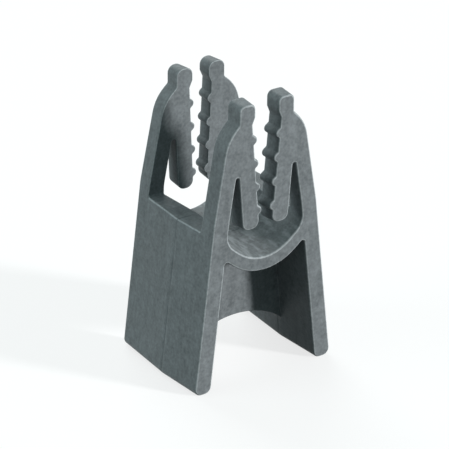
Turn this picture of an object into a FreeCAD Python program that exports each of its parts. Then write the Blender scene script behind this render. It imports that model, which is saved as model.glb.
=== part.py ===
import FreeCAD
import Part
import math
import os

# Clip-on rebar spacer: one plastic moulding that stands on two splayed side plates and holds a bar
# in a trough between toothed jaws. Millimetres, +Z up, X across the bar, Y along it.
# The origin is on the ground, midway between the feet and midway along the depth. The halves of the
# mould part a little in front of the middle, where the cross web stands.

# Overall sizes
depth = 25.0
draft_angle = 3.2
edge_break = 0.3
parting_forward = 1.8

# Trough that seats the bar: its bottom is the concrete cover above the ground
seat_height = 25.0
seat_radius = 8.7
seat_flank_angle = 40.0
seat_wall = 2.5
seat_corner_round = 5.0
underside_corner_round = 0.5

# Side plates, with heights above the seat
foot_outer_half = 15.5
foot_width = 3.4
foot_round = 1.4
foot_trim = 0.05
plate_wall = 3.3
plate_wall_top = 3.2
sill_above_seat = 6.75
sill_edge_round = 0.3
notch_round = 0.5
waist_outer_half = 11.45
waist_above_seat = 9.0
waist_round = 45.0
front_shoulder_half = 8.65
back_shoulder_half = 8.1
shoulder_above_seat = 25.0
shoulder_round = 8.0

# Frames at the two ends of the trough, with a gap between each plate and its jaw
frame_thickness = 3.6
front_gap_top_above_seat = 18.4
back_gap_top_above_seat = 18.0

# Jaws: the front pair stands wider open at the top than the back pair
arm_bottom_above_seat = 6.5
front_arm_width = 4.2
back_arm_width = 3.95
arm_end_round = 1.5
throat_half = 1.05
front_mouth_half = 2.65
back_mouth_half = 1.9

# Teeth: rounded nubs along the jaws, lower on the back pair
tooth_pitch = 4.75
tooth_height = 0.7
tooth_flank_angle = 52.0
tooth_tip_round = 0.85
tooth_root_round = 0.3
front_tooth_low_above_seat = 10.0
back_tooth_low_above_seat = 9.4

# Knobs: squarer and a little taller on the front pair
front_knob_width = 3.3
back_knob_width = 3.4
front_knob_round = 1.2
back_knob_round = 1.5
front_knob_top_above_seat = 31.35
back_knob_top_above_seat = 30.9
knob_height = 3.5
knob_foot_round = 0.6
neck_below_top = 2.6
neck_drop = 1.4
neck_round = 0.5

# Cross web under the trough
web_thickness = 2.3
arch_height = 8.75
arch_spring_height = 4.95

# Places that follow from the sizes
half_depth = depth / 2
frame_inner = half_depth - frame_thickness
notch_end = frame_inner - notch_round
parting = -parting_forward
draft_slope = math.tan(math.radians(draft_angle))
sill_height = seat_height + sill_above_seat
waist_height = seat_height + waist_above_seat
shoulder_height = seat_height + shoulder_above_seat
arm_bottom = seat_height + arm_bottom_above_seat
tooth_slant = math.radians(tooth_flank_angle)
tooth_peak = tooth_height + tooth_tip_round * (1 / math.cos(tooth_slant) - 1)
tooth_half_width = tooth_peak / math.tan(tooth_slant)

# Rounding of corners inside other walls, and the share of a straight run that its roundings may use
hidden_round = 0.15
run_share = 0.98

# Directions along the depth
front_side = -1.0
back_side = 1.0


class EndForm:
    """What differs between the frames at the two ends of the trough."""

    def __init__(
        self, shoulder_half, gap_top, arm_width, mouth_half, tooth_low, knob_width, knob_round, knob_top
    ):
        self.shoulder_half = shoulder_half
        self.gap_top_height = seat_height + gap_top
        self.arm_width = arm_width
        self.mouth_half = mouth_half
        self.tooth_low_height = seat_height + tooth_low
        self.knob_width = knob_width
        self.knob_round = knob_round
        self.knob_top_height = seat_height + knob_top
        self.knob_foot_height = self.knob_top_height - knob_height
        self.neck_height = self.knob_top_height - neck_below_top


front_end = EndForm(
    front_shoulder_half,
    front_gap_top_above_seat,
    front_arm_width,
    front_mouth_half,
    front_tooth_low_above_seat,
    front_knob_width,
    front_knob_round,
    front_knob_top_above_seat,
)
back_end = EndForm(
    back_shoulder_half,
    back_gap_top_above_seat,
    back_arm_width,
    back_mouth_half,
    back_tooth_low_above_seat,
    back_knob_width,
    back_knob_round,
    back_knob_top_above_seat,
)


class Corner:
    """A corner of an outline: its place, its rounding, and whether the edge after it takes draft."""

    def __init__(self, place, rounding, drafted=True):
        self.x, self.z = place
        self.rounding = rounding
        self.drafted = drafted


def mirrored_outline(right):
    """Closes an outline given from the middle plane round the right side and back to that plane."""
    left = []
    for index in range(len(right) - 2, 0, -1):
        corner = right[index]
        left.append(Corner((-corner.x, corner.z), corner.rounding, right[index - 1].drafted))
    return right + left


def line_between(start, end):
    """Line as a point and a unit direction."""
    length = math.hypot(end[0] - start[0], end[1] - start[1])
    return start, ((end[0] - start[0]) / length, (end[1] - start[1]) / length)


def meeting_point(first, second):
    """Point where two lines cross."""
    (ax, az), (adx, adz) = first
    (bx, bz), (bdx, bdz) = second
    along = ((bx - ax) * bdz - (bz - az) * bdx) / (adx * bdz - adz * bdx)
    return ax + along * adx, az + along * adz


def point_at_height(line, z):
    """Point of a line at one height."""
    (x0, z0), (dx, dz) = line
    return x0 + (z - z0) * dx / dz, z


def sideways(line, offset):
    """Line moved across the spacer."""
    return (line[0][0] + offset, line[0][1]), line[1]


def grown(corners, growth):
    """Outline with its drafted edges moved outwards by the growth, and the same roundings."""
    lines = []
    for index, start in enumerate(corners):
        end = corners[(index + 1) % len(corners)]
        point, direction = line_between((start.x, start.z), (end.x, end.z))
        shift = growth if start.drafted else 0.0
        lines.append(((point[0] + shift * direction[1], point[1] - shift * direction[0]), direction))
    moved = []
    for index, corner in enumerate(corners):
        place = meeting_point(lines[index - 1], lines[index])
        moved.append(Corner(place, corner.rounding, corner.drafted))
    return moved


def outline_wire(corners, y):
    """Closed wire of straight runs and tangent arcs at one depth."""
    count = len(corners)
    points = [FreeCAD.Vector(corner.x, y, corner.z) for corner in corners]
    runs = [points[(index + 1) % count] - points[index] for index in range(count)]
    half_angles = [(-runs[index - 1]).getAngle(runs[index]) / 2 for index in range(count)]
    reaches = [corner.rounding / math.tan(half) for corner, half in zip(corners, half_angles)]
    shares = []
    for index in range(count):
        wanted = reaches[index] + reaches[(index + 1) % count]
        shares.append(min(1.0, run_share * runs[index].Length / wanted))
    arcs = []
    for index in range(count):
        reach = reaches[index] * min(shares[index - 1], shares[index])
        back = (-runs[index - 1]).normalize()
        ahead = FreeCAD.Vector(runs[index]).normalize()
        half = half_angles[index]
        inset = reach * math.tan(half) * (1 / math.sin(half) - 1)
        crown = points[index] + (back + ahead).normalize() * inset
        arcs.append(Part.Arc(points[index] + back * reach, crown, points[index] + ahead * reach))
    edges = []
    for index, arc in enumerate(arcs):
        edges.append(arc.toShape())
        edges.append(Part.makeLine(arc.EndPoint, arcs[(index + 1) % count].StartPoint))
    return Part.Wire(edges)


def drafted_prism(corners, depths):
    """Solid through an outline at each depth, drafted towards the parting plane."""
    wires = []
    for y in depths:
        growth = (half_depth - abs(y - parting)) * draft_slope
        if abs(y) == half_depth:
            growth -= edge_break
        wires.append(outline_wire(grown(corners, growth), y))
    return Part.makeLoft(wires, True, True)


def plate_outer_line():
    """Outer face line of the right side plate, from the foot to the waist."""
    return line_between((foot_outer_half, 0.0), (waist_outer_half, waist_height))


def plate_inner_line():
    """Inner face line of the right side plate below the trough."""
    outer_x, outer_z = point_at_height(plate_outer_line(), seat_height)
    return line_between((foot_outer_half - foot_width, 0.0), (outer_x - plate_wall, outer_z))


def cheek_line():
    """Inner face line of the right side plate above the seat, up to the waist."""
    return sideways(plate_outer_line(), -plate_wall)


def upper_cheek_line(end):
    """Inner face line of the right side plate above the waist."""
    outer = line_between((waist_outer_half, waist_height), (end.shoulder_half, shoulder_height))
    outer_x, outer_z = point_at_height(outer, end.gap_top_height)
    return line_between((waist_outer_half - plate_wall, waist_height), (outer_x - plate_wall_top, outer_z))


def flank_line(radius):
    """Right flank of the trough at one distance from the bar's axis, tangent to the round bottom."""
    angle = math.radians(seat_flank_angle)
    bottom = seat_height + seat_radius - radius / math.cos(angle)
    return (0.0, bottom), (math.cos(angle), math.sin(angle))


def tooth_line(end):
    """Line along the tooth tips of the right jaw, from the throat up to the knob."""
    return line_between((throat_half, end.tooth_low_height), (end.mouth_half, end.neck_height))


def foot_corners():
    """Right half from under the trough, round the foot to its outer edge."""
    under_radius = seat_radius + seat_wall
    under_flank = flank_line(under_radius)
    return [
        Corner(under_flank[0], under_radius),
        Corner(meeting_point(under_flank, plate_inner_line()), underside_corner_round),
        Corner(point_at_height(plate_inner_line(), -foot_trim), foot_round, False),
        Corner(point_at_height(plate_outer_line(), -foot_trim), foot_round),
    ]


def seat_corners():
    """Right half of the bar seat, from its corner down to the bottom."""
    flank = flank_line(seat_radius)
    return [
        Corner(meeting_point(flank, cheek_line()), seat_corner_round),
        Corner(flank[0], seat_radius),
    ]


def knob_corners(end):
    """Waist, shoulder, knob and neck of the right side."""
    inner = end.mouth_half
    outer = inner + end.knob_width
    root = sideways(tooth_line(end), tooth_height)
    return [
        Corner((waist_outer_half, waist_height), waist_round),
        Corner((end.shoulder_half, shoulder_height), shoulder_round),
        Corner((outer, end.knob_foot_height), knob_foot_round),
        Corner((outer, end.knob_top_height), end.knob_round),
        Corner((inner, end.knob_top_height), end.knob_round),
        Corner((inner, end.neck_height), neck_round),
        Corner(point_at_height(root, end.neck_height - neck_drop), neck_round),
    ]


def tooth_corners(end):
    """Teeth of the right jaw from the top down, each with a rounded tip between equal flanks."""
    root = sideways(tooth_line(end), tooth_height)
    peaks = sideways(root, -tooth_peak)
    span = end.neck_height - neck_drop - tooth_half_width - end.tooth_low_height
    corners = []
    for index in reversed(range(int(span / tooth_pitch) + 1)):
        height = end.tooth_low_height + index * tooth_pitch
        corners.append(Corner(point_at_height(root, height + tooth_half_width), tooth_root_round))
        corners.append(Corner(point_at_height(peaks, height), tooth_tip_round))
        corners.append(Corner(point_at_height(root, height - tooth_half_width), tooth_root_round))
    return corners


def arm_corners(end):
    """Rounded lower end of the right jaw, the narrow top of the gap beside it, and the cheek."""
    root = sideways(tooth_line(end), tooth_height)
    back = sideways(tooth_line(end), end.arm_width)
    cheek = upper_cheek_line(end)
    gap_peak = meeting_point(back, cheek)
    gap_angle = math.atan2(*back[1]) - math.atan2(*cheek[1])
    gap_round = (gap_peak[1] - end.gap_top_height) / (1 / math.sin(gap_angle / 2) - 1)
    return [
        Corner(point_at_height(root, arm_bottom), arm_end_round),
        Corner(point_at_height(back, arm_bottom), arm_end_round),
        Corner(gap_peak, gap_round),
        Corner(cheek[0], waist_round),
    ]


def frame(end, depths):
    """Whole section of the spacer over the thickness of one frame, from the feet to the knobs."""
    right = foot_corners() + knob_corners(end) + tooth_corners(end) + arm_corners(end) + seat_corners()
    return drafted_prism(mirrored_outline(right), depths)


def plates_and_trough(top, depths):
    """Side plates and trough, cut off level at one height."""
    sill = [
        Corner(point_at_height(plate_outer_line(), top), sill_edge_round, False),
        Corner(point_at_height(cheek_line(), top), sill_edge_round),
    ]
    right = foot_corners() + sill + seat_corners()
    return drafted_prism(mirrored_outline(right), depths)


def sill_rise(side):
    """Sill that rises into the front or the back frame in a quarter round."""
    rise_top = sill_height + notch_round
    axis = FreeCAD.Vector(-foot_outer_half, side * notch_end, rise_top)
    hollow = Part.makeCylinder(notch_round, 2 * foot_outer_half, axis, FreeCAD.Vector(1.0, 0.0, 0.0))
    return plates_and_trough(rise_top, sorted([side * frame_inner, side * notch_end])).cut(hollow)


def middle():
    """Plates and trough between the frames."""
    level = plates_and_trough(sill_height, [-notch_end, parting, notch_end])
    return level.fuse([sill_rise(front_side), sill_rise(back_side)])


def ground():
    """Block under the ground, which levels the rounded feet."""
    reach = foot_outer_half + foot_width
    corner = FreeCAD.Vector(-reach, -depth, -foot_width)
    return Part.makeBox(2 * reach, 2 * depth, foot_width, corner)


def web():
    """Cross web at the parting plane, from the trough down to a shallow arch between the plates."""
    plate_middle = sideways(plate_inner_line(), foot_width / 2)
    flank = flank_line(seat_radius + seat_wall / 2)
    right = [
        Corner(point_at_height(plate_middle, arch_spring_height), hidden_round),
        Corner(meeting_point(flank, plate_middle), hidden_round),
    ]
    left = [Corner((-corner.x, corner.z), corner.rounding) for corner in reversed(right)]
    outline = right + [Corner(flank[0], seat_radius + seat_wall / 2)] + left
    panel = Part.Face(outline_wire(outline, parting - web_thickness / 2))
    half_span = point_at_height(plate_inner_line(), arch_spring_height)[0]
    rise = arch_height - arch_spring_height
    arch_radius = (half_span ** 2 + rise ** 2) / (2 * rise)
    arch_axis = FreeCAD.Vector(0.0, -half_depth, arch_height - arch_radius)
    arch = Part.makeCylinder(arch_radius, depth, arch_axis, FreeCAD.Vector(0.0, 1.0, 0.0))
    return panel.extrude(FreeCAD.Vector(0.0, web_thickness, 0.0)).cut(arch)


front_frame = frame(front_end, [-half_depth, -half_depth + edge_break, -frame_inner])
back_frame = frame(back_end, [frame_inner, half_depth - edge_break, half_depth])
joined = front_frame.fuse([back_frame, middle(), web()])
spacer_body = joined.cut(ground()).removeSplitter()
os.makedirs("parts", exist_ok=True)
spacer_body.exportStep("parts/spacer_body.step")
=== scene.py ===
"""Clip-on rebar spacer dressed for the studio: one grey plastic moulding on a pale floor.

Lengths are millimetres up to the point where a mesh or the camera is placed, which takes metres.
"""

import logging
import math
from collections.abc import Iterable
from dataclasses import dataclass, field, replace
from enum import Enum

import bpy
import numpy as np
from mathutils import Matrix, Vector

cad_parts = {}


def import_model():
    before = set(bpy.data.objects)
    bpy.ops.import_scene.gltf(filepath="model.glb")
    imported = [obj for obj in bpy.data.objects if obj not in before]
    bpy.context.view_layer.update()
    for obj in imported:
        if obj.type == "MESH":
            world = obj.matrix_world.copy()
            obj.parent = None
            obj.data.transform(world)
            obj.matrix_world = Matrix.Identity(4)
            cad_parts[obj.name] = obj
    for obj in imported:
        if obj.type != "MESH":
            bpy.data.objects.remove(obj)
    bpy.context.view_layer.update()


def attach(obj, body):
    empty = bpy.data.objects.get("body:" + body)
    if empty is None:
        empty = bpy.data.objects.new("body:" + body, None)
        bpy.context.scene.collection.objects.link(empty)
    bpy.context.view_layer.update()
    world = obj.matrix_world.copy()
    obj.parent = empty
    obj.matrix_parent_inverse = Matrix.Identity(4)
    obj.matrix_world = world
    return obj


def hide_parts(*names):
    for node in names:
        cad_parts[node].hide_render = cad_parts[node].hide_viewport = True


LOG = logging.getLogger("spacer")
MILLIMETRE = 0.001
NODE = "spacer_body"
PIECE = "spacer_moulding"
BODY = "root"

Array = np.ndarray
Point = tuple[float, float]
Range = tuple[float, float]
Colour = tuple[float, float, float, float]
Socket = bpy.types.NodeSocket
WHITE: Colour = (1.0, 1.0, 1.0, 1.0)


class End(Enum):
    """The two ends of the trough."""

    FRONT = "front"
    BACK = "back"


class Run(Enum):
    """What moves a straight run of an outline from one section to the next."""

    DRAFTED = "mould draft"
    LEVEL = "nothing but the rounded ends"
    POCKET = "mould draft and the fillet at the web"
    SILL = "the quarter round into the frames"


class Mark(Enum):
    """Named places part of the way along a run."""

    SPRING = "where the arch springs from the plate"
    OUTER = "outer edge of the sill"
    INNER = "inner edge of the sill"


def smooth_step(value: Array) -> Array:
    """Cubic ramp 3t^2 - 2t^3 with t the value held between 0 and 1."""
    ramp = np.clip(value, 0.0, 1.0)
    return ramp * ramp * (3.0 - 2.0 * ramp)


def quarter_round(radius: float, steps: int) -> tuple[Array, Array]:
    """Quarter circle between two faces that meet at a right angle.

    With the angle a from 0 to 90 degrees, it lies r(1 - cos a) from the first face and r(1 - sin a) from
    the second.

    Args:
        radius: Radius r of the quarter circle.
        steps: Number of points on it.

    Returns:
        Distance from the first face and distance from the second face, at each point.
    """
    angle = np.linspace(0.0, math.pi / 2, steps)
    return radius * (1.0 - np.cos(angle)), radius * (1.0 - np.sin(angle))


def inner_points(start: float, end: float, count: int) -> Array:
    """Evenly spaced values strictly between two limits."""
    return np.linspace(start, end, count + 2)[1:-1]


def edge_wear_and_highlight(share: Array) -> Array:
    """Pale mark across a rounded edge, partly worn plastic and partly a painted highlight: 4t(1 - t), with t
    the share of the way across it.
    """
    return 4.0 * share * (1.0 - share)


def grid_quads(index: Array) -> Array:
    """Faces of a grid of vertices, each from its first corner to the next row and round."""
    corners = [index[:-1, :-1], index[1:, :-1], index[1:, 1:], index[:-1, 1:]]
    return np.stack(corners, axis=-1).reshape(-1, 4)


def add_object(name: str, data: bpy.types.ID) -> bpy.types.Object:
    """Adds an object with its data to the scene."""
    added = bpy.data.objects.new(name, data)
    bpy.context.scene.collection.objects.link(added)
    return added


@dataclass(frozen=True)
class Line:
    """Straight line across the section, as a point and a unit direction."""

    point: Point
    direction: Point

    @classmethod
    def between(cls, start: Point, end: Point) -> "Line":
        """Line through two points."""
        length = math.dist(start, end)
        return cls(start, ((end[0] - start[0]) / length, (end[1] - start[1]) / length))

    def crossing(self, other: "Line") -> Point:
        """Point where two lines cross.

        Args:
            other: Line that isn't parallel to this one.

        Returns:
            The crossing point.
        """
        gap = (other.point[0] - self.point[0], other.point[1] - self.point[1])
        slant = self.direction[0] * other.direction[1] - self.direction[1] * other.direction[0]
        along = (gap[0] * other.direction[1] - gap[1] * other.direction[0]) / slant
        return self.point[0] + along * self.direction[0], self.point[1] + along * self.direction[1]

    def at_height(self, z: float) -> Point:
        """Point of the line at one height."""
        return self.point[0] + (z - self.point[1]) * self.direction[0] / self.direction[1], z

    def sideways(self, offset: float) -> "Line":
        """The same line moved across the spacer."""
        return Line((self.point[0] + offset, self.point[1]), self.direction)


@dataclass(frozen=True)
class Corner:
    """Corner of an outline, with the straight run that follows it.

    The spans are the numbers of points inside the run, one number for each stretch between its marks.
    """

    place: Point
    rounding: float
    run: Run = Run.DRAFTED
    spans: tuple[int, ...] = (2,)
    mark: Mark | None = None


@dataclass(frozen=True)
class Rows:
    """Stack of sections along the depth: the place of each, and how far each kind of run moves there."""

    y: Array
    draft: Array
    edge: Array
    fillet: Array
    lift: Array


@dataclass(frozen=True)
class Samples:
    """Points of a half outline: the corner that owns each and how far it is along that arc or run.

    The marks give the index of each marked point.
    """

    owner: Array
    fraction: Array
    on_arc: Array
    marks: dict[Mark, int]

    @property
    def count(self) -> int:
        """Number of points on the half outline."""
        return len(self.owner)


@dataclass(frozen=True)
class Arcs:
    """Tangent arcs of an outline on every row, with axes for the row, the corner and x or z."""

    start: Array
    end: Array
    centre: Array
    turn: Array

    def points(self, samples: Samples) -> Array:
        """Points on the arcs and on the runs between them.

        On an arc a point is the centre plus the first spoke turned by the fraction of the whole turn.
        On a run it is the fraction of the way from the end of one arc to the start of the next.

        Args:
            samples: Where to take the points.

        Returns:
            Array of rows by points by x and z.
        """
        owner = samples.owner
        following = (owner + 1) % self.turn.size
        angle = self.turn[owner] * samples.fraction
        spoke = self.start[:, owner] - self.centre[:, owner]
        turned_x = np.cos(angle) * spoke[..., 0] - np.sin(angle) * spoke[..., 1]
        turned_z = np.sin(angle) * spoke[..., 0] + np.cos(angle) * spoke[..., 1]
        on_arc = self.centre[:, owner] + np.stack([turned_x, turned_z], axis=-1)
        run_start = self.end[:, owner]
        on_run = run_start + samples.fraction[:, None] * (self.start[:, following] - run_start)
        return np.where(samples.on_arc[:, None], on_arc, on_run)

    def share_at_height(self, row: int, corner: int, z: float) -> float:
        """How far along the run after a corner it reaches one height, as a share of the run.

        Args:
            row: Row of the stack.
            corner: Corner that the run follows.
            z: Height.

        Returns:
            Share of the run.
        """
        run_start = self.end[row, corner, 1]
        run_end = self.start[row, corner + 1, 1]
        return float((z - run_start) / (run_end - run_start))


@dataclass(frozen=True)
class Outline:
    """Closed outline given by its right half, from the middle plane round the side and back to that plane."""

    right: tuple[Corner, ...]
    tightest_round: float = 0.15
    run_share: float = 0.98
    arc_step: float = math.radians(8.0)
    fewest_arc_points: int = 5

    def closed(self) -> list[Corner]:
        """The right half with its mirror image, each mirrored corner taking the run on its other side."""
        left = []
        for index in range(len(self.right) - 2, 0, -1):
            corner = self.right[index]
            place = (-corner.place[0], corner.place[1])
            left.append(Corner(place, corner.rounding, self.right[index - 1].run))
        return [*self.right, *left]

    def arcs(self, rows: Rows) -> Arcs:
        """Arcs of the outline on every row.

        Each run moves outwards by what the row gives its kind, and the corners are where moved runs cross. A
        rounding keeps its radius, apart from the rounded ends, which draw in as parallel curves do.

        Args:
            rows: Stack of sections.

        Returns:
            The tangent arcs.
        """
        corners = self.closed()
        place = np.array([corner.place for corner in corners])
        rounding = np.array([corner.rounding for corner in corners])
        pocket = np.array([corner.run is Run.POCKET for corner in corners])
        sill = np.array([corner.run is Run.SILL for corner in corners])
        drafted = np.array([corner.run in (Run.DRAFTED, Run.POCKET) for corner in corners])
        ahead = np.roll(place, -1, axis=0) - place
        ahead /= np.linalg.norm(ahead, axis=1, keepdims=True)
        behind = np.roll(ahead, 1, axis=0)
        outward = np.stack([ahead[:, 1], -ahead[:, 0]], axis=-1)

        shift = rows.edge[:, None] + rows.draft[:, None] * drafted
        shift = shift + rows.fillet[:, None] * pocket + rows.lift[:, None] * sill
        moved = place + shift[..., None] * outward
        moved_behind = np.roll(moved, 1, axis=1)
        gap = moved - moved_behind
        slant = behind[:, 0] * ahead[:, 1] - behind[:, 1] * ahead[:, 0]
        along = (gap[..., 0] * ahead[:, 1] - gap[..., 1] * ahead[:, 0]) / slant
        crossing = moved_behind + along[..., None] * behind

        turn = np.arctan2(slant, np.sum(behind * ahead, axis=1))
        radius = np.maximum(rounding + np.sign(turn) * rows.edge[:, None], self.tightest_round)
        opening = np.tan(np.abs(turn) / 2)
        reach = radius * opening
        length = np.linalg.norm(np.roll(crossing, -1, axis=1) - crossing, axis=-1)
        fit = np.minimum(1.0, self.run_share * length / (reach + np.roll(reach, -1, axis=1)))
        reach = reach * np.minimum(np.roll(fit, 1, axis=1), fit)
        start = crossing - reach[..., None] * behind
        end = crossing + reach[..., None] * ahead
        inward = np.stack([-behind[:, 1], behind[:, 0]], axis=-1) * np.sign(turn)[:, None]
        centre = start + (reach / opening)[..., None] * inward
        return Arcs(start, end, centre, turn)

    def samples(self, turn: Array, breaks: dict[Mark, float]) -> Samples:
        """Points of the right half: more on longer arcs, and as many on each run as its spans say.

        Args:
            turn: Turn at each corner, in radians.
            breaks: Share of its run at which each mark stands.

        Returns:
            The samples, from one crossing of the middle plane to the other.
        """
        pieces: list[tuple[int, Array, bool]] = []
        marks: dict[Mark, int] = {}
        count = 0
        end_index = len(self.right) - 1
        for index, corner in enumerate(self.right):
            low = 0.5 if index == 0 else 0.0
            high = 0.5 if index == end_index else 1.0
            points = math.ceil(abs(turn[index]) * (high - low) / self.arc_step) + 1
            points = max(points, self.fewest_arc_points)
            pieces.append((index, np.linspace(low, high, points), True))
            count += points
            if index == end_index:
                continue
            limits = [0.0, 1.0] if corner.mark is None else [0.0, breaks[corner.mark], 1.0]
            for span, start, end in zip(corner.spans, limits, limits[1:]):
                inner = inner_points(start, end, span)
                if end < 1.0:
                    inner = np.append(inner, end)
                    marks[corner.mark] = count + span
                pieces.append((index, inner, False))
                count += len(inner)
        owner = np.concatenate([np.full(len(values), index) for index, values, _ in pieces])
        fraction = np.concatenate([values for _, values, _ in pieces])
        on_arc = np.concatenate([np.full(len(values), arc) for _, values, arc in pieces])
        return Samples(owner, fraction, on_arc, marks)


@dataclass(frozen=True)
class Trough:
    """Round trough that seats the bar, with straight flanks up to the side plates."""

    seat_height: float = 25.0
    radius: float = 8.7
    flank_angle: float = 40.0
    wall: float = 2.5
    corner_round: float = 3.9
    under_corner_round: float = 0.5
    flank_spans: int = 6

    def flank(self, radius: float) -> Line:
        """Right flank at one distance from the bar's axis, tangent to the round bottom."""
        angle = math.radians(self.flank_angle)
        bottom = self.seat_height + self.radius - radius / math.cos(angle)
        return Line((0.0, bottom), (math.cos(angle), math.sin(angle)))

    def seat_corners(self, cheek: Line) -> list[Corner]:
        """Right half of the seat, from its corner at the cheek down to the bottom."""
        flank = self.flank(self.radius)
        spans = (self.flank_spans,)
        return [
            Corner(flank.crossing(cheek), self.corner_round, spans=spans),
            Corner(flank.point, self.radius),
        ]

    def under_corners(self, plate: Line, plate_spans: tuple[int, int]) -> list[Corner]:
        """Right half of the underside, from the middle to its corner at the plate."""
        radius = self.radius + self.wall
        flank = self.flank(radius)
        return [
            Corner(flank.point, radius, Run.POCKET, (self.flank_spans,)),
            Corner(flank.crossing(plate), self.under_corner_round, Run.POCKET, plate_spans, Mark.SPRING),
        ]


@dataclass(frozen=True)
class SidePlate:
    """Splayed plate on the right side, from its foot to the sill between the frames."""

    seat_height: float = 25.0
    foot_outer_half: float = 15.5
    foot_width: float = 3.4
    foot_round: float = 1.4
    foot_trim: float = 0.05
    wall: float = 3.3
    sill_height: float = 31.75
    sill_edge_round: float = 0.3
    waist_outer_half: float = 11.45
    waist_height: float = 34.0
    inner_spans: tuple[int, int] = (14, 3)
    outer_spans: int = 18
    upper_spans: int = 3
    cheek_spans: int = 4

    @property
    def outer_line(self) -> Line:
        """Outer face, from the foot to the waist."""
        return Line.between((self.foot_outer_half, 0.0), (self.waist_outer_half, self.waist_height))

    @property
    def inner_line(self) -> Line:
        """Inner face below the trough."""
        outer_x, outer_z = self.outer_line.at_height(self.seat_height)
        return Line.between((self.foot_outer_half - self.foot_width, 0.0), (outer_x - self.wall, outer_z))

    @property
    def cheek_line(self) -> Line:
        """Inner face above the seat, up to the waist."""
        return self.outer_line.sideways(-self.wall)

    def foot_corners(self, outer_spans: tuple[int, ...], mark: Mark | None) -> list[Corner]:
        """Two corners of the rounded foot, with the outer face after them."""
        low = -self.foot_trim
        return [
            Corner(self.inner_line.at_height(low), self.foot_round, Run.LEVEL),
            Corner(self.outer_line.at_height(low), self.foot_round, Run.DRAFTED, outer_spans, mark),
        ]

    def sill_corners(self) -> list[Corner]:
        """Two edges of the sill, with the cheek after them."""
        outer = self.outer_line.at_height(self.sill_height)
        inner = self.cheek_line.at_height(self.sill_height)
        return [
            Corner(outer, self.sill_edge_round, Run.SILL),
            Corner(inner, self.sill_edge_round, Run.DRAFTED, (self.cheek_spans,)),
        ]


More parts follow.
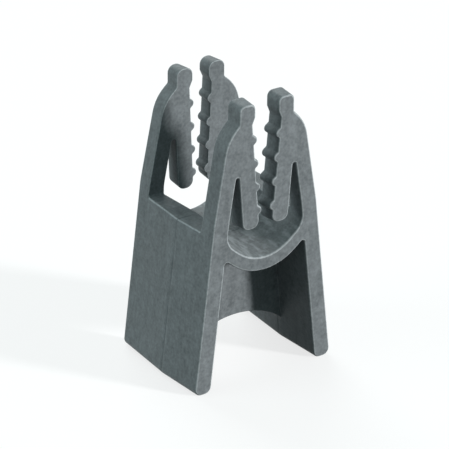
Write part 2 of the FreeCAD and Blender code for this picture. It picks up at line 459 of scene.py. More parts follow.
@dataclass(frozen=True)
class EndFrame:
    """Frame at one end of the trough: shoulders, knobs and two toothed jaws, given by the right side."""

    end: End
    shoulder_half: float
    gap_top_height: float
    arm_width: float
    mouth_half: float
    tooth_low_height: float
    knob_width: float
    knob_round: float
    knob_top_height: float
    shoulder_height: float = 50.0
    shoulder_round: float = 8.0
    plate_wall_top: float = 3.2
    waist_round: float = 20.0
    arm_bottom: float = 31.5
    arm_end_round: float = 1.5
    throat_half: float = 1.05
    tooth_count: int = 4
    tooth_pitch: float = 4.75
    tooth_height: float = 0.7
    tooth_flank_angle: float = 52.0
    tooth_tip_round: float = 0.85
    tooth_root_round: float = 0.3
    knob_height: float = 3.5
    knob_foot_round: float = 0.6
    neck_below_top: float = 2.6
    neck_drop: float = 1.4
    neck_round: float = 0.5
    side_spans: int = 8

    @classmethod
    def front(cls) -> "EndFrame":
        """Front frame: wide open at the top, with squarer and taller knobs."""
        return cls(
            End.FRONT,
            shoulder_half=8.65,
            gap_top_height=43.4,
            arm_width=4.2,
            mouth_half=2.65,
            tooth_low_height=35.0,
            knob_width=3.3,
            knob_round=1.2,
            knob_top_height=56.35,
        )

    @classmethod
    def back(cls) -> "EndFrame":
        """Back frame: narrower at the top, with round knobs and lower teeth."""
        return cls(
            End.BACK,
            shoulder_half=8.1,
            gap_top_height=43.0,
            arm_width=3.95,
            mouth_half=1.9,
            tooth_low_height=34.4,
            knob_width=3.4,
            knob_round=1.5,
            knob_top_height=55.9,
        )

    @property
    def neck_height(self) -> float:
        """Height at which the knob ends and the jaw draws back to its roots."""
        return self.knob_top_height - self.neck_below_top

    @property
    def tips(self) -> Line:
        """Line along the tooth tips, from the throat up to the knob."""
        return Line.between((self.throat_half, self.tooth_low_height), (self.mouth_half, self.neck_height))

    @property
    def roots(self) -> Line:
        """Line along the tooth roots."""
        return self.tips.sideways(self.tooth_height)

    def cheek_line(self, plate: SidePlate) -> Line:
        """Inner face of the plate above the waist."""
        waist = (plate.waist_outer_half, plate.waist_height)
        outer = Line.between(waist, (self.shoulder_half, self.shoulder_height))
        outer_x, outer_z = outer.at_height(self.gap_top_height)
        return Line.between((waist[0] - plate.wall, waist[1]), (outer_x - self.plate_wall_top, outer_z))

    def knob_corners(self, plate: SidePlate) -> list[Corner]:
        """Waist, shoulder, knob and neck."""
        inner = self.mouth_half
        outer = inner + self.knob_width
        long_run = (self.side_spans,)
        return [
            Corner((plate.waist_outer_half, plate.waist_height), self.waist_round, spans=long_run),
            Corner((self.shoulder_half, self.shoulder_height), self.shoulder_round),
            Corner((outer, self.knob_top_height - self.knob_height), self.knob_foot_round),
            Corner((outer, self.knob_top_height), self.knob_round),
            Corner((inner, self.knob_top_height), self.knob_round),
            Corner((inner, self.neck_height), self.neck_round),
            Corner(self.roots.at_height(self.neck_height - self.neck_drop), self.neck_round),
        ]

    def tooth_corners(self) -> list[Corner]:
        """Teeth from the top down, each with a rounded tip between equal flanks."""
        slant = math.radians(self.tooth_flank_angle)
        peak = self.tooth_height + self.tooth_tip_round * (1.0 / math.cos(slant) - 1.0)
        half_width = peak / math.tan(slant)
        peaks = self.roots.sideways(-peak)
        corners = []
        for index in reversed(range(self.tooth_count)):
            height = self.tooth_low_height + index * self.tooth_pitch
            corners.append(Corner(self.roots.at_height(height + half_width), self.tooth_root_round))
            corners.append(Corner(peaks.at_height(height), self.tooth_tip_round))
            corners.append(Corner(self.roots.at_height(height - half_width), self.tooth_root_round))
        return corners

    def arm_corners(self, plate: SidePlate) -> list[Corner]:
        """Rounded lower end of the jaw, the narrow top of the gap beside it, and the cheek."""
        back = self.tips.sideways(self.arm_width)
        cheek = self.cheek_line(plate)
        peak = back.crossing(cheek)
        gap_angle = math.atan2(*back.direction) - math.atan2(*cheek.direction)
        gap_round = (peak[1] - self.gap_top_height) / (1.0 / math.sin(gap_angle / 2) - 1.0)
        long_run = (self.side_spans,)
        cheek_spans = (plate.upper_spans, plate.cheek_spans)
        return [
            Corner(self.roots.at_height(self.arm_bottom), self.arm_end_round),
            Corner(back.at_height(self.arm_bottom), self.arm_end_round, spans=long_run),
            Corner(peak, gap_round, spans=long_run),
            Corner(cheek.point, self.waist_round, Run.DRAFTED, cheek_spans, Mark.INNER),
        ]


@dataclass(frozen=True)
class CrossWeb:
    """Web under the trough at the parting plane, with a shallow arch along its lower edge."""

    thickness: float = 2.3
    arch_height: float = 8.75
    spring_height: float = 4.95
    fillet: float = 0.15
    fillet_ramp: float = 2.5
    edge_round: float = 0.3
    arch_points: int = 33
    edge_fade: float = 10.0

    def arch(self, springs: Array, lift: Array) -> Array:
        """Lower edge of the web on each of its rows, without its ends.

        It is the circle through the two springs and the crown, raised by the lift of the row. The lift fades
        to nothing at the springs as 1 - s^n, with s the place along the span from -1 to 1.

        Args:
            springs: x and z of the right spring on each row.
            lift: Rise of each row into the rounded edges.

        Returns:
            Array of rows by points by x and z, from left to right.
        """
        place = inner_points(-1.0, 1.0, self.arch_points)
        half_span = springs[:, :1]
        rise = self.arch_height - springs[:, 1:]
        radius = (half_span**2 + rise**2) / (2.0 * rise)
        x = half_span * place
        z = self.arch_height - radius + np.sqrt(radius**2 - x**2)
        return np.stack([x, z + lift[:, None] * (1.0 - np.abs(place) ** self.edge_fade)], axis=-1)


@dataclass(frozen=True)
class Mould:
    """What the tool gives the whole moulding: depth, draft, rounded ends and the seam of its halves."""

    depth: float = 25.0
    draft_angle: float = 3.2
    parting: float = -1.8
    frame_thickness: float = 3.6
    end_round: float = 0.36
    notch_edge_round: float = 0.2
    notch_round: float = 0.5
    edge_ramp: float = 1.2
    seam_half_width: float = 0.14
    seam_depth: float = 0.05
    end_steps: int = 9
    notch_steps: int = 7
    plain_rows: int = 3
    row_tolerance: float = 1e-9

    @property
    def half_depth(self) -> float:
        """Distance of each end face from the middle."""
        return self.depth / 2

    @property
    def frame_inner(self) -> float:
        """Distance of the frames' inner faces from the middle."""
        return self.half_depth - self.frame_thickness

    def draft(self, y: Array) -> Array:
        """Growth of the section towards the parting plane, where the halves of the tool meet."""
        return (self.half_depth - np.abs(y - self.parting)) * math.tan(math.radians(self.draft_angle))


@dataclass
class SkinMesh:
    """Vertices, grids of quads and flat caps of one closed skin, gathered before they become a mesh."""

    places: list[Array] = field(default_factory=list)
    wear_and_highlight: list[Array] = field(default_factory=list)
    seat: list[Array] = field(default_factory=list)
    quads: list[Array] = field(default_factory=list)
    caps: list[Array] = field(default_factory=list)
    count: int = 0

    def add_rows(self, section: Array, y: Array, wear_and_highlight: Array, seat: Array) -> Array:
        """Adds a stack of sections.

        Args:
            section: x and z of every point on every row.
            y: Depth of each row.
            wear_and_highlight: How much each point lies on a rounded edge that is pale from wearing and from
                a painted highlight.
            seat: How much each point lies in the bar's seat.

        Returns:
            Index of every point, as rows by points.
        """
        depth = np.broadcast_to(y[:, None], section.shape[:2])
        place = np.stack([section[..., 0], depth, section[..., 1]], axis=-1)
        self.places.append(place.reshape(-1, 3))
        self.wear_and_highlight.append(np.broadcast_to(wear_and_highlight, section.shape[:2]).reshape(-1))
        self.seat.append(np.broadcast_to(seat, section.shape[:2]).reshape(-1))
        index = np.arange(depth.size).reshape(depth.shape) + self.count
        self.count += depth.size
        return index

    def add_quads(self, index: Array) -> None:
        """Adds the faces of a grid of vertices, outwards where the material lies left of each row."""
        self.quads.append(grid_quads(index))

    def add_cap(self, loop: Array, faces_front: bool) -> None:
        """Adds a flat face from a loop that runs anticlockwise seen from the front."""
        self.caps.append(loop if faces_front else loop[::-1])

    def build(self, name: str) -> bpy.types.Mesh:
        """Makes the mesh from the vertices that its faces use.

        Args:
            name: Name of the mesh.

        Returns:
            Smooth mesh in metres with sharp edges round its flat caps, and as attributes its seat and its
            pale edges, worn and painted as a highlight.
        """
        quads = np.concatenate(self.quads)
        used = np.unique(np.concatenate([quads.ravel(), *self.caps]))
        renumber = np.zeros(self.count, dtype=int)
        renumber[used] = np.arange(used.size)
        faces = renumber[quads].tolist() + [renumber[cap].tolist() for cap in self.caps]
        places = np.concatenate(self.places)[used] * MILLIMETRE
        mesh = bpy.data.meshes.new(name)
        mesh.from_pydata(places.tolist(), [], faces, shade_flat=False)
        for label, values in (("edge_wear_and_highlight", self.wear_and_highlight), ("bar_seat", self.seat)):
            layer = mesh.attributes.new(label, "FLOAT", "POINT")
            layer.data.foreach_set("value", np.concatenate(values)[used].astype(np.float32))
        edge_of_loop = np.empty(len(mesh.loops), dtype=np.int32)
        mesh.loops.foreach_get("edge_index", edge_of_loop)
        sharp = np.zeros(len(mesh.edges), dtype=bool)
        sharp[edge_of_loop[quads.size :]] = True
        mesh.attributes.new("sharp_edge", "BOOLEAN", "EDGE").data.foreach_set("value", sharp)
        mesh.validate()
        return mesh


@dataclass(frozen=True)
class Middle:
    """What lies between the frames: its sections, the points of their right halves and every point's index.

    The spring says how far down the plate the arch springs, and the sill holds the points of its two edges.
    """

    rows: Rows
    samples: Samples
    section: Array
    spring: dict[Mark, float]
    sill: tuple[int, int]
    index: Array


@dataclass
class SpacerBody:
    """The whole moulding: feet, plates, trough, web and the two end frames in one closed skin."""

    trough: Trough = field(default_factory=Trough)
    plate: SidePlate = field(default_factory=SidePlate)
    web: CrossWeb = field(default_factory=CrossWeb)
    mould: Mould = field(default_factory=Mould)
    front: EndFrame = field(default_factory=EndFrame.front)
    back: EndFrame = field(default_factory=EndFrame.back)
    seat_ramp: float = 2.0

    def lower_corners(self, outer_spans: tuple[int, ...], mark: Mark | None) -> list[Corner]:
        """Right half from under the trough, round the foot to the outer face of the plate."""
        under = self.trough.under_corners(self.plate.inner_line, self.plate.inner_spans)
        return under + self.plate.foot_corners(outer_spans, mark)

    def middle_outline(self) -> Outline:
        """Section between the frames, cut off at the sill."""
        lower = self.lower_corners((self.plate.outer_spans,), None)
        seat = self.trough.seat_corners(self.plate.cheek_line)
        return Outline((*lower, *self.plate.sill_corners(), *seat))

    def frame_outline(self, frame: EndFrame) -> Outline:
        """Section through one frame, from the feet to the knobs."""
        lower = self.lower_corners((self.plate.outer_spans, self.plate.upper_spans), Mark.OUTER)
        jaw = frame.knob_corners(self.plate) + frame.tooth_corners() + frame.arm_corners(self.plate)
        seat = self.trough.seat_corners(self.plate.cheek_line)
        return Outline((*lower, *jaw, *seat))

    def frame_rows(self, end: End) -> tuple[Rows, Array]:
        """Stack of sections through one frame.

        Args:
            end: End of the trough at which the frame stands.

        Returns:
            The rows, rounded at the end face, and how far the upper edges draw in at the inner face.
        """
        mould = self.mould
        end_along, end_in = quarter_round(mould.end_round, mould.end_steps)
        notch_along, notch_in = quarter_round(mould.notch_edge_round, mould.notch_steps)
        end_y = -mould.half_depth + end_along
        notch_y = -mould.frame_inner - notch_along[::-1]
        plain_y = inner_points(end_y[-1], notch_y[0], mould.plain_rows)
        y = np.concatenate([end_y, plain_y, notch_y])
        edge = np.pad(-end_in, (0, y.size - end_in.size))
        drawn = np.pad(-notch_in[::-1], (y.size - notch_in.size, 0))
        if end is End.BACK:
            y, edge, drawn = -y[::-1], edge[::-1], drawn[::-1]
        nothing = np.zeros_like(y)
        return Rows(y, mould.draft(y), edge, nothing, nothing), drawn

    def middle_rows(self) -> tuple[Rows, Array]:
        """Stack of sections between the frames, with the rows of the web and of the seam.

        Returns:
            The rows, and the rise of the web's lower edge on each.
        """
        mould = self.mould
        web_face = self.web.thickness / 2
        rise_along, rise = quarter_round(mould.notch_round, mould.end_steps)
        fillet_along, fillet_in = quarter_round(self.web.fillet, mould.notch_steps)
        arch_along, arch_in = quarter_round(self.web.edge_round, mould.notch_steps)
        rise_y = -mould.frame_inner + rise_along
        web_row = rise_y.size + mould.plain_rows + fillet_along.size - 1

        def from_frame(parting: float) -> Array:
            """Rows from the frame's inner face to the parting plane."""
            fillet_y = parting - web_face - fillet_along[::-1]
            plain_y = inner_points(rise_y[-1], fillet_y[0], mould.plain_rows)
            arch_y = parting - web_face + arch_along[1:]
            seam_y = [parting - mould.seam_half_width, parting]
            return np.concatenate([rise_y, plain_y, fillet_y, arch_y, seam_y])

        def whole(values: Array) -> Array:
            """Both halves of a stack, with the row at the parting plane once."""
            return np.concatenate([values, values[-2::-1]])

        front_y = from_frame(mould.parting)
        y = np.concatenate([front_y, -from_frame(-mould.parting)[-2::-1]])
        after_web = front_y.size - web_row
        lift = np.pad(rise, (0, front_y.size - rise.size))
        fillet = np.pad(fillet_in[::-1], (web_row + 1 - fillet_in.size, after_web - 1))
        arch_lift = np.pad(arch_in, (web_row, after_web - arch_in.size))
        draft = mould.draft(y)
        draft[front_y.size - 1] -= mould.seam_depth
        rows = Rows(y, draft, np.zeros_like(y), whole(fillet), whole(lift))
        return rows, whole(arch_lift)

    @staticmethod
    def close(half: Array) -> Array:
        """Whole loops from right halves, standing on the ground: the left half mirrors the right.

        Args:
            half: x and z of every point on every row of the right half.

        Returns:
            The loops, with no point twice.
        """
        left = half[:, -2:0:-1] * np.array([-1.0, 1.0])
        loop = np.concatenate([half, left], axis=1)
        loop[..., 1] = np.maximum(loop[..., 1], 0.0)
        return loop

    @staticmethod
    def both_halves(half: Array) -> Array:
        """Values of a closed loop from those of its right half."""
        return np.concatenate([half, half[..., -2:0:-1]], axis=-1)

    @staticmethod
    def opposite(index: Array, count: int) -> Array:
        """Index of the mirrored point in a loop whose right half has so many points."""
        whole = 2 * count - 2
        return (whole - index) % whole

    def seat_share(self, section: Array, inner: int) -> Array:
        """How much each point lies in the bar's seat: a ramp down from the inner edge of the sill."""
        share = smooth_step((section[inner, 1] - section[:, 1]) / self.seat_ramp)
        return np.where(np.arange(len(section)) >= inner, share, 0.0)

    def skin(self) -> SkinMesh:
        """Closed skin of the moulding.

        Each section is an outline of runs and tangent arcs, carried along the depth and grown by the draft.
        The frames' sections and the middle's share their points below the sill, the web's faces close the
        pockets, and the arch runs between the points where it springs from the plates.

        Returns:
            The gathered faces.
        """
        skin = SkinMesh()
        rows, arch_lift = self.middle_rows()
        outline = self.middle_outline()
        arcs = outline.arcs(rows)
        web_row = int(np.argmax(rows.fillet))
        spring = {Mark.SPRING: arcs.share_at_height(web_row, 1, self.web.spring_height)}
        samples = outline.samples(arcs.turn, spring)
        section = self.middle_points(outline, rows, arcs, samples)
        sill = next(index for index, corner in enumerate(outline.right) if corner.run is Run.SILL)
        on_edge = np.isin(samples.owner, [sill, sill + 1]) & samples.on_arc
        outer, inner = np.flatnonzero(on_edge)[[0, -1]]
        seat = self.both_halves(self.seat_share(section[web_row], inner))
        # Pale sill edges: worn plastic, and a painted highlight along the rounding.
        wear_and_highlight = np.where(on_edge, edge_wear_and_highlight(samples.fraction), 0.0)
        index = skin.add_rows(self.close(section), rows.y, self.both_halves(wear_and_highlight), seat)
        middle = Middle(rows, samples, section, spring, (outer, inner), index)
        for frame in (self.front, self.back):
            self.add_frame(skin, frame, middle)
        self.add_middle(skin, middle, arch_lift)
        return skin

    def middle_points(self, outline: Outline, rows: Rows, arcs: Arcs, samples: Samples) -> Array:
        """Right half of the sections between the frames, whose fillet at the web fades out at its springs.

        Args:
            outline: Outline between the frames.
            rows: Stack of sections.
            arcs: Arcs of the outline with the fillet.
            samples: Where to take the points.

        Returns:
            Array of rows by points by x and z.
        """
        filleted = arcs.points(samples)
        plain = outline.arcs(replace(rows, fillet=np.zeros_like(rows.fillet))).points(samples)
        above = (plain[..., 1] - self.web.spring_height) / self.web.fillet_ramp
        in_pocket = np.arange(samples.count) <= samples.marks[Mark.SPRING]
        share = np.where(in_pocket, smooth_step(above), 0.0)
        return plain + share[..., None] * (filleted - plain)

    def add_frame(self, skin: SkinMesh, frame: EndFrame, middle: Middle) -> None:
        """Adds one end frame: its skin, its end face and the two inner faces above the sill.

        Args:
            skin: Skin to add to.
            frame: The frame.
            middle: What lies between the frames, which takes over the points that they share.
        """
        is_front = frame.end is End.FRONT
        near, far = (-1, 0) if is_front else (0, -1)
        rows, drawn = self.frame_rows(frame.end)
        sill_heights = middle.section[far, middle.sill, 1]
        outline = self.frame_outline(frame)
        arcs = outline.arcs(rows)
        marked = {corner.mark: at for at, corner in enumerate(outline.right) if corner.mark}
        breaks = dict(middle.spring)
        for mark, height in zip((Mark.OUTER, Mark.INNER), sill_heights):
            breaks[mark] = arcs.share_at_height(near, marked[mark], height)
        samples = outline.samples(arcs.turn, breaks)
        outer = samples.marks[Mark.OUTER]
        inner = samples.marks[Mark.INNER]

        plain = arcs.points(samples)
        pulled = outline.arcs(replace(rows, edge=rows.edge + drawn)).points(samples)
        order = np.arange(samples.count)
        above = (order > outer) & (order < inner)
        on_plate = np.isin(samples.owner, [marked[Mark.OUTER], marked[Mark.INNER]]) & ~samples.on_arc
        ramp = smooth_step((plain[near, :, 1] - sill_heights.max()) / self.mould.edge_ramp)
        upper = np.where(above, np.where(on_plate, ramp, 1.0), 0.0)
        section = plain + upper[:, None] * (pulled - plain)

        # Pale end and notch edges: worn plastic, and a painted highlight along the rounding.
        wear_and_highlight = edge_wear_and_highlight(np.abs(rows.edge) / self.mould.end_round)[:, None]
        wear_and_highlight = wear_and_highlight + edge_wear_and_highlight(np.abs(drawn) / self.mould.notch_edge_round)[:, None] * upper
        seat = self.seat_share(plain[near], inner) * (rows.edge > -self.mould.end_round)[:, None]
        index = skin.add_rows(self.close(section), rows.y, self.both_halves(wear_and_highlight), self.both_halves(seat))

        middle_outer, middle_inner = middle.sill
        middle_count = middle.samples.count
        shared = np.concatenate([order[: outer + 1], order[inner:]])
        middle_order = np.arange(middle_count)
        middle_shared = np.concatenate([middle_order[: middle_outer + 1], middle_order[middle_inner:]])
        row = middle.index[far]
        for here, there in (
            (shared, middle_shared),
            (self.opposite(shared, samples.count), self.opposite(middle_shared, middle_count)),
        ):
            row[there] = index[near, here]

        skin.add_quads(np.concatenate([index, index[:, :1]], axis=1))
        skin.add_cap(index[far], is_front)
        jaw = order[outer : inner + 1]
        top = middle_order[middle_inner - 1 : middle_outer : -1]
        skin.add_cap(np.concatenate([index[near, jaw], row[top]]), not is_front)
        left_jaw = self.opposite(jaw, samples.count)
        left_top = self.opposite(top, middle_count)
        skin.add_cap(np.concatenate([index[near, left_jaw], row[left_top]])[::-1], not is_front)

    def add_middle(self, skin: SkinMesh, middle: Middle, arch_lift: Array) -> None:
        """Adds the plates and the trough between the frames, the web's two faces and the arch.

        Args:
            skin: Skin to add to.
            middle: What lies between the frames.
            arch_lift: Rise of the web's lower edge on each row.
        """
        rows, samples, index = middle.rows, middle.samples, middle.index
        web_half = self.web.thickness / 2 + self.mould.row_tolerance
        web_rows = np.flatnonzero(np.abs(rows.y - self.mould.parting) <= web_half)
        front, back = int(web_rows[0]), int(web_rows[-1])
        spring = samples.marks[Mark.SPRING]
        left_spring = int(self.opposite(np.array(spring), samples.count))
        closed = np.concatenate([index, index[:, :1]], axis=1)
        skin.add_quads(closed[: front + 1])
        skin.add_quads(closed[front : back + 1, spring : left_spring + 1])
        skin.add_quads(closed[back:])

        span = slice(front, back + 1)
        arch = self.web.arch(middle.section[span, spring], arch_lift[span])
        arch_index = skin.add_rows(arch, rows.y[span], np.zeros(1), np.zeros(1))
        ends = (index[span, left_spring, None], index[span, spring, None])
        arch_index = np.concatenate([ends[0], arch_index, ends[1]], axis=1)
        skin.add_quads(arch_index)
        under_right = np.arange(spring - 1, -1, -1)
        under_left = self.opposite(np.arange(1, spring), samples.count)
        under = np.concatenate([under_right, under_left])
        skin.add_cap(np.concatenate([arch_index[0], index[front, under]]), True)
        skin.add_cap(np.concatenate([arch_index[-1], index[back, under]]), False)

    def build(self, finish: "PlasticFinish") -> bpy.types.Object:
        """Makes the moulding, gives it its finish and lets it stand for the CAD solid.

        Args:
            finish: Finish of the plastic.

        Returns:
            The dressed object.
        """
        piece = add_object(PIECE, self.skin().build(PIECE))
        piece.data.materials.append(finish.material())
        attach(piece, BODY)
        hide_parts(NODE)
        return piece


class Wiring:
    """Shader nodes of one material or world, added and linked by the name or number of a socket."""

    def __init__(self, owner: bpy.types.Material | bpy.types.World) -> None:
        """Starts from an empty tree."""
        owner.use_nodes = True
        self.tree = owner.node_tree
        self.tree.nodes.clear()

    def node(self, kind: str, inputs: dict | None = None, **settings: object) -> bpy.types.Node:
        """Adds a node.

        Args:
            kind: Type of the node.
            inputs: Values or sockets for its inputs, by name or number.
            settings: Properties of the node.

        Returns:
            The node.
        """
        made = self.tree.nodes.new(kind)
        for name, value in settings.items():
            setattr(made, name, value)
        for name, value in (inputs or {}).items():
            if isinstance(value, Socket):
                self.tree.links.new(value, made.inputs[name])
            else:
                made.inputs[name].default_value = value
        return made

    def output(self, kind: str, inputs: dict | None = None, **settings: object) -> Socket:
        """First output of a new node."""
        return self.node(kind, inputs, **settings).outputs[0]

    def maths(self, operation: str, first: object, second: object) -> Socket:
        """Result of one sum on two values or sockets."""
        return self.output("ShaderNodeMath", {0: first, 1: second}, operation=operation)

    def spread(self, value: object, limits: Range, to: Range = (0.0, 1.0)) -> Socket:
        """Value stretched from one range to another, and held inside it."""
        names = ("From Min", "From Max", "To Min", "To Max")
        inputs = {"Value": value, **dict(zip(names, (*limits, *to)))}
        return self.output("ShaderNodeMapRange", inputs)

    def mix(self, share: object, first: object, second: object) -> Socket:
        """Colour between two colours or sockets, by the numbers of the node's colour sockets."""
        return self.node("ShaderNodeMix", {0: share, 6: first, 7: second}, data_type="RGBA").outputs[2]

    def blend(self, layers: Iterable[tuple[Socket, float]]) -> Socket:
        """Sum of layers, each times its weight."""
        total = 0.0
        for layer, weight in layers:
            total = self.maths("ADD", total, self.maths("MULTIPLY", layer, weight))
        return total

    def end_with(self, kind: str, lighting: Socket, seen: Socket) -> None:
        """Ends the tree with two shaders.

        Args:
            kind: Type of the output node.
            lighting: Shader for the rays that light the object.
            seen: Shader for rays from the camera, from gloss and through glass.
        """
        path = self.node("ShaderNodeLightPath").outputs
        rays = self.maths("MAXIMUM", path["Is Camera Ray"], path["Is Glossy Ray"])
        rays = self.maths("MAXIMUM", rays, path["Is Transmission Ray"])
        self.node(kind, {"Surface": self.output("ShaderNodeMixShader", {0: rays, 1: lighting, 2: seen})})


@dataclass(frozen=True)
class Pattern:
    """Noise with features of about one size in millimetres, drawn out along each axis by a stretch."""

    size: float
    detail: float
    stretch: tuple[float, float, float] = (1.0, 1.0, 1.0)

    def value(self, wiring: Wiring, place: Socket) -> Socket:
        """The noise at a place in metres."""
        scale = [1.0 / (MILLIMETRE * length) for length in self.stretch]
        drawn = wiring.output("ShaderNodeMapping", {"Vector": place, "Scale": scale})
        inputs = {"Vector": drawn, "Scale": 1.0 / self.size, "Detail": self.detail}
        return wiring.output("ShaderNodeTexNoise", inputs)


@dataclass(frozen=True)
class PlasticFinish:
    """Cool grey moulded plastic: mottled, streaked by the flow, pale on worn edges with a painted highlight,
    scuffed in the seat.

    Each range is the part of a pattern that counts, and each pair of shares is what its two ends give.
    """

    name: str = "grey_moulded_plastic"
    dark: Colour = (0.106, 0.117, 0.122, 1.0)
    light: Colour = (0.196, 0.213, 0.222, 1.0)
    # Pale for the scuffed seat, and for edges that are worn and carry a painted highlight.
    pale: Colour = (0.40, 0.43, 0.44, 1.0)
    # Painted shade: dark colour for the line along the parting seam, in place of the shade in its shallow
    # crease.
    seam: Colour = (0.066, 0.082, 0.087, 1.0)
    clouds: Pattern = Pattern(size=9.0, detail=4.0)
    mottle: Pattern = Pattern(size=1.6, detail=3.0)
    streaks: Pattern = Pattern(size=0.8, detail=3.0, stretch=(1.0, 1.0, 17.5))
    grain: Pattern = Pattern(size=0.55, detail=2.0)
    scuffs: Pattern = Pattern(size=1.2, detail=4.0, stretch=(1.0, 8.0 / 3.0, 1.0))
    tone_weights: tuple[float, float, float, float] = (0.2, 0.3, 0.15, 0.35)
    tone_range: Range = (0.37, 0.63)
    scuff_range: Range = (0.48, 0.64)
    scuff_shares: Range = (0.0, 0.42)
    wear_and_highlight_range: Range = (0.3, 0.6)
    wear_and_highlight_shares: Range = (0.4, 0.72)
    seam_shade_range: Range = (0.4, 0.6)
    seam_shade_shares: Range = (0.1, 0.95)
    seam_place: float = -1.8
    seam_half_width: float = 0.2
    gloss_range: Range = (0.7, 1.3)
    roughness: Range = (0.42, 0.6)
    specular: float = 0.12
    streak_relief: float = 0.6
    bump_strength: float = 0.35
    bump_height: float = 0.03

    def material(self) -> bpy.types.Material:
        """Builds the material on Object coordinates.

        Returns:
            The material.
        """
        material = bpy.data.materials.new(self.name)
        wiring = Wiring(material)
        place = wiring.node("ShaderNodeTexCoord").outputs["Object"]
        patterns = (self.clouds, self.mottle, self.streaks, self.grain, self.scuffs)
        clouds, mottle, streaks, grain, scuffs = [pattern.value(wiring, place) for pattern in patterns]

        tone = wiring.blend(zip((clouds, mottle, streaks, grain), self.tone_weights))
        colour = wiring.mix(wiring.spread(tone, self.tone_range), self.dark, self.light)
        # The seat's scuffs are worn plastic; the pale edges are partly worn and partly a painted highlight.
        for label, pattern, limits, shares in (
            ("bar_seat", scuffs, self.scuff_range, self.scuff_shares),
            ("edge_wear_and_highlight", grain, self.wear_and_highlight_range, self.wear_and_highlight_shares),
        ):
            marked = wiring.node("ShaderNodeAttribute", attribute_name=label).outputs["Fac"]
            share = wiring.maths("MULTIPLY", marked, wiring.spread(pattern, limits, shares))
            colour = wiring.mix(share, colour, self.pale)
        # Painted shade: a dark, broken line along the parting seam, in place of the shade in its shallow
        # crease.
        depth = wiring.node("ShaderNodeSeparateXYZ", {0: place}).outputs["Y"]
        beside = wiring.maths("SUBTRACT", depth, self.seam_place * MILLIMETRE)
        beside = wiring.maths("ABSOLUTE", beside, 0.0)
        in_seam_shade = wiring.spread(beside, (0.0, self.seam_half_width * MILLIMETRE), (1.0, 0.0))
        broken = wiring.spread(streaks, self.seam_shade_range, self.seam_shade_shares)
        colour = wiring.mix(wiring.maths("MULTIPLY", in_seam_shade, broken), colour, self.seam)

        rough = wiring.spread(wiring.maths("ADD", clouds, grain), self.gloss_range, self.roughness)
        relief = wiring.blend(((grain, 1.0), (streaks, self.streak_relief)))
        height = {"Height": relief, "Strength": self.bump_strength, "Distance": self.bump_height * MILLIMETRE}
        inputs = {
            "Base Color": colour,
            "Roughness": rough,
            "Specular IOR Level": self.specular,
            "Normal": wiring.output("ShaderNodeBump", height),
        }
        surface = wiring.output("ShaderNodeBsdfPrincipled", inputs)
        wiring.node("ShaderNodeOutputMaterial", {"Surface": surface})
        return material


@dataclass(frozen=True)
class Lamp:
    """Far lamp: where it stands seen from the object, its strength there, its spread and its colour."""

    name: str
    azimuth: float
    elevation: float
    strength: float
    spread: float
    colour: tuple[float, float, float]

    def build(self) -> None:
        """Adds the lamp as a sun."""
        light = bpy.data.lights.new(self.name, "SUN")
        light.energy = self.strength * math.pi
        light.angle = math.radians(self.spread)
        light.color = self.colour
        turned = direction(self.azimuth, self.elevation).to_track_quat("Z", "Y").to_euler()
        add_object(self.name, light).rotation_euler = turned


def direction(azimuth: float, elevation: float) -> Vector:
    """Unit direction from the object: azimuth in degrees from the front towards the right, then elevation."""
    around = math.radians(azimuth)
    up = math.radians(elevation)
    return Vector((math.sin(around) * math.cos(up), -math.cos(around) * math.cos(up), math.sin(up)))


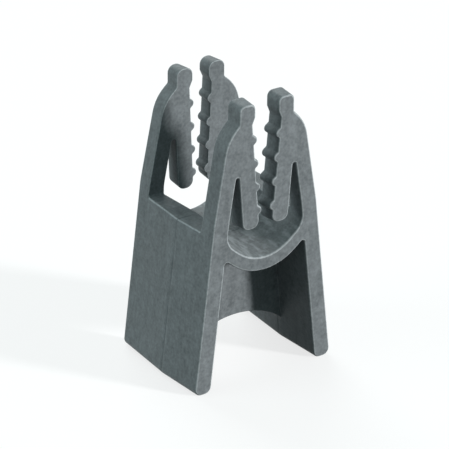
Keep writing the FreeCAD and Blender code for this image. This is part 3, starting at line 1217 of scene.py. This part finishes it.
@dataclass(frozen=True)
class Studio:
    """Pale floor, lamps and the camera at the photograph's angle."""

    lamps: tuple[Lamp, ...] = (
        Lamp("key_lamp", azimuth=36.5, elevation=17.0, strength=1.27, spread=8.0, colour=(1.0, 1.0, 1.0)),
        Lamp("fill_lamp", azimuth=-110.0, elevation=14.0, strength=0.53, spread=45.0, colour=(0.9, 1.0, 1.0)),
        Lamp("back_lamp", azimuth=165.0, elevation=38.0, strength=0.5, spread=40.0, colour=(0.95, 1.0, 1.0)),
    )
    ambient: float = 0.28
    ambient_colour: Colour = (0.7, 1.0, 1.0, 1.0)
    floor_half: float = 3000.0
    floor_points: int = 3
    floor_bounce: Colour = (0.08, 0.08, 0.08, 1.0)
    floor_white: float = 0.75
    picture_pixels: float = 449.0
    focal_pixels: float = 2840.82
    sensor_width: float = 36.0
    camera_azimuth: float = -34.854
    camera_elevation: float = 25.979
    camera_roll: float = 0.516
    camera_distance: float = 533.23
    clip_share: float = 0.01
    target_height: float = 28.0
    pan: tuple[float, float] = (-0.4517, -1.2921)

    def floor_material(self) -> bpy.types.Material:
        """White floor that shows a soft shadow and throws little light back at the object."""
        material = bpy.data.materials.new("pale_floor")
        wiring = Wiring(material)
        glow = wiring.output("ShaderNodeEmission", {"Color": WHITE, "Strength": 1.0})
        lit = wiring.output("ShaderNodeBsdfDiffuse", {"Color": WHITE})
        bounce = wiring.output("ShaderNodeBsdfDiffuse", {"Color": self.floor_bounce})
        seen = wiring.output("ShaderNodeMixShader", {0: self.floor_white, 1: lit, 2: glow})
        wiring.end_with("ShaderNodeOutputMaterial", bounce, seen)
        return material

    def build_floor(self) -> None:
        """Adds the floor: a flat grid of x and y at ground level."""
        side = np.linspace(-self.floor_half, self.floor_half, self.floor_points) * MILLIMETRE
        x, y = np.meshgrid(side, side)
        places = np.stack([x, y, np.zeros_like(x)], axis=-1).reshape(-1, 3)
        index = np.arange(places.shape[0]).reshape(x.shape)
        mesh = bpy.data.meshes.new("floor")
        mesh.from_pydata(places.tolist(), [], grid_quads(index[::-1]).tolist())
        mesh.materials.append(self.floor_material())
        floor = add_object("floor", mesh)

    def build_world(self) -> None:
        """Adds the surroundings: white where they are seen, and a low even light on the object."""
        world = bpy.data.worlds.new("studio")
        wiring = Wiring(world)
        even = wiring.output("ShaderNodeBackground", {"Color": self.ambient_colour, "Strength": self.ambient})
        seen = wiring.output("ShaderNodeBackground", {"Color": WHITE, "Strength": 1.0})
        wiring.end_with("ShaderNodeOutputWorld", even, seen)
        bpy.context.scene.world = world

    def build_camera(self) -> None:
        """Adds the camera, turned about its own view by the roll and moved sideways by the pan."""
        back = direction(self.camera_azimuth, self.camera_elevation)
        around = math.radians(self.camera_azimuth)
        level = Vector((math.cos(around), math.sin(around), 0.0))
        upright = back.cross(level)
        roll = math.radians(self.camera_roll)
        right = math.cos(roll) * level + math.sin(roll) * upright
        up = math.cos(roll) * upright - math.sin(roll) * level
        target = Vector((0.0, 0.0, self.target_height))
        place = target + self.pan[0] * right + self.pan[1] * up + self.camera_distance * back
        data = bpy.data.cameras.new("camera")
        data.sensor_width = self.sensor_width
        data.lens = self.sensor_width * self.focal_pixels / self.picture_pixels
        data.clip_start = self.clip_share * self.camera_distance * MILLIMETRE
        camera = add_object("camera", data)
        turned = Matrix((right, up, back)).transposed().to_4x4()
        camera.matrix_world = Matrix.Translation(place * MILLIMETRE) @ turned
        bpy.context.scene.camera = camera

    def build(self) -> None:
        """Adds the floor, the surroundings, the lamps and the camera."""
        bpy.context.scene.view_settings.view_transform = "Standard"
        self.build_floor()
        self.build_world()
        for lamp in self.lamps:
            lamp.build()
        self.build_camera()


def main() -> None:
    """Loads the frame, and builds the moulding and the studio."""
    logging.basicConfig(level=logging.INFO, format="%(name)s: %(message)s")
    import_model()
    piece = SpacerBody().build(PlasticFinish())
    LOG.info("%s: %d vertices, %d faces", piece.name, len(piece.data.vertices), len(piece.data.polygons))
    Studio().build()
    LOG.info("studio: floor, lamps and camera")


if __name__ == "__main__":
    main()
